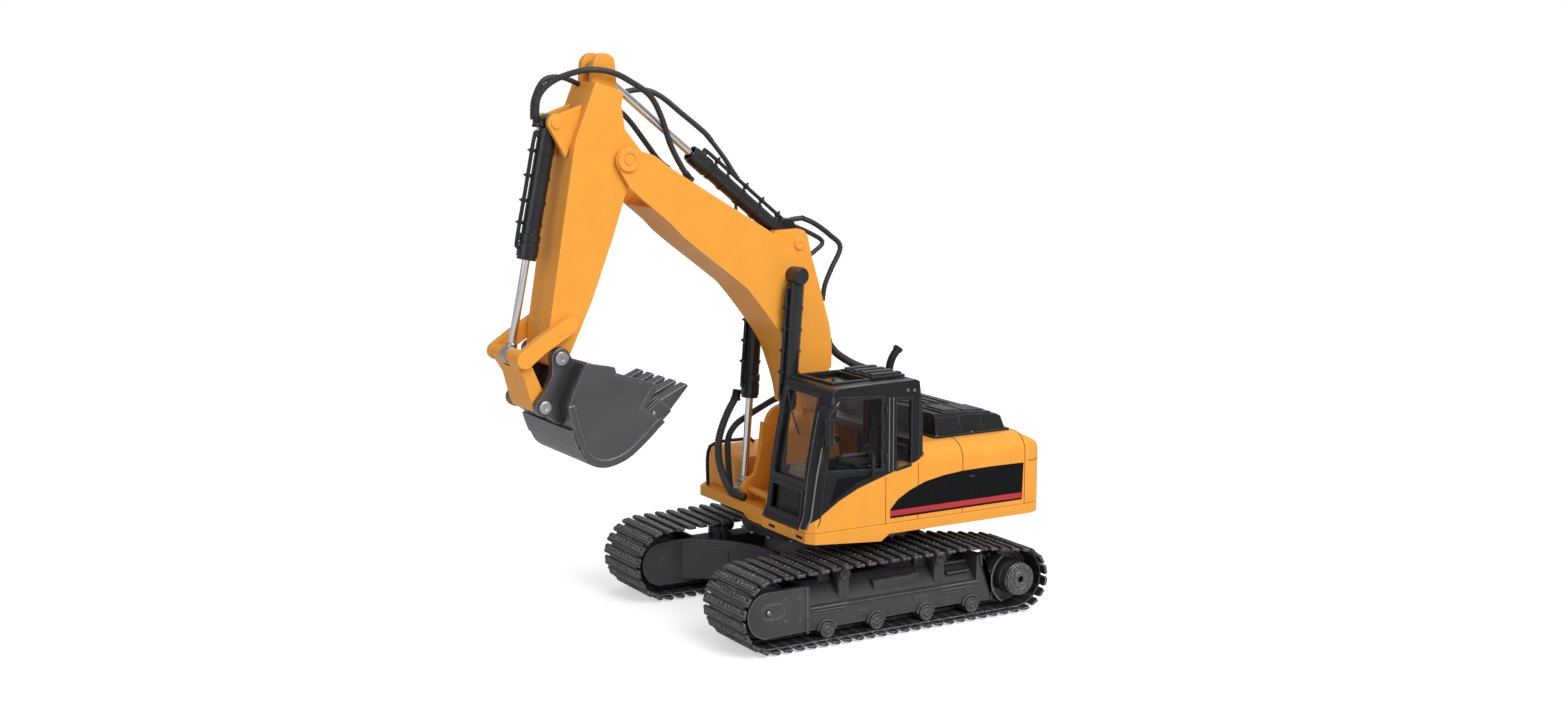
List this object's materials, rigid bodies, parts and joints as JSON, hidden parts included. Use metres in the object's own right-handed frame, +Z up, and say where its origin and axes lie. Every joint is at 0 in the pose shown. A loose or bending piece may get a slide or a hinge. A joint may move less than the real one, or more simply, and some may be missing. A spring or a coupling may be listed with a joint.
{
  "type": "toy excavator",
  "caption": "Yellow remote-control style toy crawler excavator with a slewing house, glazed cab, two-part digging arm, rod-linked bucket and ribbed crawler tracks.",
  "frame": {"origin": "on the ground under the centre of the whole toy", "axes": "+X forward towards the bucket, +Y to the driver's left, +Z up"},
  "size_m": [0.3003, 0.165, 0.3112],
  "materials": {
    "yellow_body": "gloss",
    "black_plastic": "satin",
    "track_plastic": "satin",
    "bucket_grey": "semi-gloss",
    "chrome_rod": "polished",
    "pin_steel": "satin",
    "hose_rubber": "ribbed",
    "clear_glazing": "clear tinted",
    "seat_fabric": "matt"
  },
  "bodies": {
    "undercarriage": {"center_frame": "track_plastic", "slew_ring": "black_plastic", "track_frame_left": "track_plastic", "track_frame_right": "track_plastic", "track_belt_left": "track_plastic", "track_belt_right": "track_plastic"},
    "house": {"deck": "yellow_body", "left_side_panel": "yellow_body", "right_side_panel": "yellow_body", "counterweight": "yellow_body", "engine_hood": "black_plastic", "exhaust": "black_plastic", "cab_frame": "black_plastic", "cab_glass": "clear_glazing", "seat": "seat_fabric", "roof_hatch": "black_plastic", "mirror": "black_plastic", "handrail": "black_plastic", "battery_pack": "black_plastic", "boom_bracket": "yellow_body", "boom_foot_pin": "pin_steel", "boom_hose": "hose_rubber", "cylinder_hose": "hose_rubber"},
    "boom": {"boom": "yellow_body", "boom_cylinder_pin": "pin_steel", "stick_pin": "pin_steel", "knee_hose": "hose_rubber", "stick_hose_upper": "hose_rubber", "stick_hose_lower": "hose_rubber", "gland_hose": "hose_rubber"},
    "stick": {"stick": "yellow_body"},
    "bucket": {"bucket": "bucket_grey", "bucket_pin": "pin_steel", "link_pin": "pin_steel"},
    "rocker": {"rocker": "yellow_body"},
    "bucket_link": {"bucket_link": "yellow_body"},
    "stick_cylinder_barrel": {"stick_cylinder_barrel": "black_plastic"},
    "stick_cylinder_rod": {"stick_cylinder_rod": "chrome_rod"},
    "bucket_cylinder_barrel": {"bucket_cylinder_barrel": "black_plastic"},
    "bucket_cylinder_rod": {"bucket_cylinder_rod": "chrome_rod"},
    "boom_cylinder_barrel_left": {"boom_cylinder_barrel_left": "black_plastic"},
    "boom_cylinder_rod_left": {"boom_cylinder_rod_left": "chrome_rod"},
    "sprocket_left": {"sprocket_left": "track_plastic"},
    "idler_left": {"idler_left": "track_plastic"},
    "bottom_roller_left_1": {"bottom_roller_left_1": "track_plastic"},
    "bottom_roller_left_2": {"bottom_roller_left_2": "track_plastic"},
    "bottom_roller_left_3": {"bottom_roller_left_3": "track_plastic"},
    "bottom_roller_left_4": {"bottom_roller_left_4": "track_plastic"},
    "carrier_roller_left_1": {"carrier_roller_left_1": "track_plastic"},
    "carrier_roller_left_2": {"carrier_roller_left_2": "track_plastic"},
    "boom_cylinder_barrel_right": {"boom_cylinder_barrel_right": "black_plastic"},
    "boom_cylinder_rod_right": {"boom_cylinder_rod_right": "chrome_rod"},
    "sprocket_right": {"sprocket_right": "track_plastic"},
    "idler_right": {"idler_right": "track_plastic"},
    "bottom_roller_right_1": {"bottom_roller_right_1": "track_plastic"},
    "bottom_roller_right_2": {"bottom_roller_right_2": "track_plastic"},
    "bottom_roller_right_3": {"bottom_roller_right_3": "track_plastic"},
    "bottom_roller_right_4": {"bottom_roller_right_4": "track_plastic"},
    "carrier_roller_right_1": {"carrier_roller_right_1": "track_plastic"},
    "carrier_roller_right_2": {"carrier_roller_right_2": "track_plastic"}
  },
  "joints": [
    {"name": "swing", "type": "hinge", "parent": "undercarriage", "child": "house", "pos_m": [-0.04415, 0, 0.045], "axis": [0, 0, 1], "continuous": true},
    {"name": "boom_lift", "type": "hinge", "parent": "house", "child": "boom", "pos_m": [-0.03415, -0.004, 0.098], "axis": [0, -1, 0], "range_deg": [-22, 16], "deforming": ["boom_hose", "cylinder_hose"]},
    {"name": "stick_swing", "type": "hinge", "parent": "boom", "child": "stick", "pos_m": [0.08405, -0.004, 0.2562], "axis": [0, -1, 0], "range_deg": [-16, 20], "deforming": ["stick_hose_upper", "stick_hose_lower", "gland_hose", "knee_hose"]},
    {"name": "bucket_curl", "type": "hinge", "parent": "stick", "child": "bucket", "pos_m": [0.12555, -0.004, 0.1558], "axis": [0, -1, 0], "range_deg": [-5, 40]},
    {"name": "rocker_pivot", "type": "hinge", "parent": "stick", "child": "rocker", "pos_m": [0.11985, -0.004, 0.1725], "axis": [0, -1, 0], "range_deg": [-4.45, 28.59]},
    {"name": "link_pivot", "type": "hinge", "parent": "rocker", "child": "bucket_link", "pos_m": [0.14555, -0.004, 0.1563], "axis": [0, -1, 0], "range_deg": [-8.44, 1.93]},
    {"name": "bucket_rod_pivot", "type": "hinge", "parent": "rocker", "child": "bucket_cylinder_rod", "pos_m": [0.14555, -0.004, 0.1563], "axis": [0, -1, 0], "range_deg": [-24.62, 3.95]},
    {"name": "bucket_barrel_pivot", "type": "hinge", "parent": "stick", "child": "bucket_cylinder_barrel", "pos_m": [0.12085, -0.004, 0.276], "axis": [0, -1, 0], "range_deg": [-1.5, 4.97]},
    {"name": "stick_barrel_pivot", "type": "hinge", "parent": "boom", "child": "stick_cylinder_barrel", "pos_m": [-0.02365, -0.004, 0.2063], "axis": [0, -1, 0], "range_deg": [-4.77, 5.71]},
    {"name": "stick_rod_pivot", "type": "hinge", "parent": "stick", "child": "stick_cylinder_rod", "pos_m": [0.09385, -0.004, 0.303], "axis": [0, -1, 0], "range_deg": [-16.29, 13.23]},
    {"name": "boom_rod_pivot_left", "type": "hinge", "parent": "house", "child": "boom_cylinder_rod_left", "pos_m": [-0.00565, 0.0173, 0.065], "axis": [0, -1, 0], "range_deg": [-16.7, 12.42]},
    {"name": "boom_barrel_pivot_left", "type": "hinge", "parent": "boom", "child": "boom_cylinder_barrel_left", "pos_m": [-0.01535, 0.0173, 0.1903], "axis": [0, -1, 0], "range_deg": [-5.58, 7.3]},
    {"name": "boom_rod_pivot_right", "type": "hinge", "parent": "house", "child": "boom_cylinder_rod_right", "pos_m": [-0.00565, -0.0253, 0.065], "axis": [0, -1, 0], "range_deg": [-16.7, 12.42]},
    {"name": "boom_barrel_pivot_right", "type": "hinge", "parent": "boom", "child": "boom_cylinder_barrel_right", "pos_m": [-0.01535, -0.0253, 0.1903], "axis": [0, -1, 0], "range_deg": [-5.58, 7.3]},
    {"name": "drive_left", "type": "hinge", "parent": "undercarriage", "child": "sprocket_left", "pos_m": [-0.12385, 0.06, 0.0186], "axis": [0, 1, 0], "continuous": true},
    {"name": "idler_spin_left", "type": "hinge", "parent": "undercarriage", "child": "idler_left", "pos_m": [0.03555, 0.06, 0.021], "axis": [0, 1, 0], "continuous": true},
    {"name": "bottom_roller_spin_left_1", "type": "hinge", "parent": "undercarriage", "child": "bottom_roller_left_1", "pos_m": [-0.00015, 0.06, 0.0067], "axis": [0, 1, 0], "continuous": true},
    {"name": "bottom_roller_spin_left_2", "type": "hinge", "parent": "undercarriage", "child": "bottom_roller_left_2", "pos_m": [-0.03155, 0.06, 0.0067], "axis": [0, 1, 0], "continuous": true},
    {"name": "bottom_roller_spin_left_3", "type": "hinge", "parent": "undercarriage", "child": "bottom_roller_left_3", "pos_m": [-0.06415, 0.06, 0.0067], "axis": [0, 1, 0], "continuous": true},
    {"name": "bottom_roller_spin_left_4", "type": "hinge", "parent": "undercarriage", "child": "bottom_roller_left_4", "pos_m": [-0.09475, 0.06, 0.0067], "axis": [0, 1, 0], "continuous": true},
    {"name": "carrier_roller_spin_left_1", "type": "hinge", "parent": "undercarriage", "child": "carrier_roller_left_1", "pos_m": [-0.01365, 0.06, 0.0348], "axis": [0, 1, 0], "continuous": true},
    {"name": "carrier_roller_spin_left_2", "type": "hinge", "parent": "undercarriage", "child": "carrier_roller_left_2", "pos_m": [-0.07615, 0.06, 0.0348], "axis": [0, 1, 0], "continuous": true},
    {"name": "drive_right", "type": "hinge", "parent": "undercarriage", "child": "sprocket_right", "pos_m": [-0.12385, -0.06, 0.0186], "axis": [0, 1, 0], "continuous": true},
    {"name": "idler_spin_right", "type": "hinge", "parent": "undercarriage", "child": "idler_right", "pos_m": [0.03555, -0.06, 0.021], "axis": [0, 1, 0], "continuous": true},
    {"name": "bottom_roller_spin_right_1", "type": "hinge", "parent": "undercarriage", "child": "bottom_roller_right_1", "pos_m": [-0.00015, -0.06, 0.0067], "axis": [0, 1, 0], "continuous": true},
    {"name": "bottom_roller_spin_right_2", "type": "hinge", "parent": "undercarriage", "child": "bottom_roller_right_2", "pos_m": [-0.03155, -0.06, 0.0067], "axis": [0, 1, 0], "continuous": true},
    {"name": "bottom_roller_spin_right_3", "type": "hinge", "parent": "undercarriage", "child": "bottom_roller_right_3", "pos_m": [-0.06415, -0.06, 0.0067], "axis": [0, 1, 0], "continuous": true},
    {"name": "bottom_roller_spin_right_4", "type": "hinge", "parent": "undercarriage", "child": "bottom_roller_right_4", "pos_m": [-0.09475, -0.06, 0.0067], "axis": [0, 1, 0], "continuous": true},
    {"name": "carrier_roller_spin_right_1", "type": "hinge", "parent": "undercarriage", "child": "carrier_roller_right_1", "pos_m": [-0.01365, -0.06, 0.0348], "axis": [0, 1, 0], "continuous": true},
    {"name": "carrier_roller_spin_right_2", "type": "hinge", "parent": "undercarriage", "child": "carrier_roller_right_2", "pos_m": [-0.07615, -0.06, 0.0348], "axis": [0, 1, 0], "continuous": true}
  ],
  "couplings": [
    {"joint": "rocker_pivot", "follows": "bucket_curl", "ratio": 0.6898},
    {"joint": "link_pivot", "follows": "bucket_curl", "ratio": -0.1861},
    {"joint": "bucket_rod_pivot", "follows": "bucket_curl", "ratio": -0.5906},
    {"joint": "bucket_barrel_pivot", "follows": "bucket_curl", "ratio": 0.0992},
    {"joint": "stick_barrel_pivot", "follows": "stick_swing", "ratio": 0.2355},
    {"joint": "stick_rod_pivot", "follows": "stick_swing", "ratio": -0.7645},
    {"joint": "boom_rod_pivot_left", "follows": "boom_lift", "ratio": 0.7135},
    {"joint": "boom_barrel_pivot_left", "follows": "boom_lift", "ratio": -0.2865},
    {"joint": "boom_rod_pivot_right", "follows": "boom_lift", "ratio": 0.7135},
    {"joint": "boom_barrel_pivot_right", "follows": "boom_lift", "ratio": -0.2865},
    {"joint": "idler_spin_left", "follows": "drive_left", "ratio": 0.8571},
    {"joint": "bottom_roller_spin_left_1", "follows": "drive_left", "ratio": 5.76},
    {"joint": "bottom_roller_spin_left_2", "follows": "drive_left", "ratio": 5.76},
    {"joint": "bottom_roller_spin_left_3", "follows": "drive_left", "ratio": 5.76},
    {"joint": "bottom_roller_spin_left_4", "follows": "drive_left", "ratio": 5.76},
    {"joint": "carrier_roller_spin_left_1", "follows": "drive_left", "ratio": -4},
    {"joint": "carrier_roller_spin_left_2", "follows": "drive_left", "ratio": -4},
    {"joint": "idler_spin_right", "follows": "drive_right", "ratio": 0.8571},
    {"joint": "bottom_roller_spin_right_1", "follows": "drive_right", "ratio": 5.76},
    {"joint": "bottom_roller_spin_right_2", "follows": "drive_right", "ratio": 5.76},
    {"joint": "bottom_roller_spin_right_3", "follows": "drive_right", "ratio": 5.76},
    {"joint": "bottom_roller_spin_right_4", "follows": "drive_right", "ratio": 5.76},
    {"joint": "carrier_roller_spin_right_1", "follows": "drive_right", "ratio": -4},
    {"joint": "carrier_roller_spin_right_2", "follows": "drive_right", "ratio": -4}
  ]
}
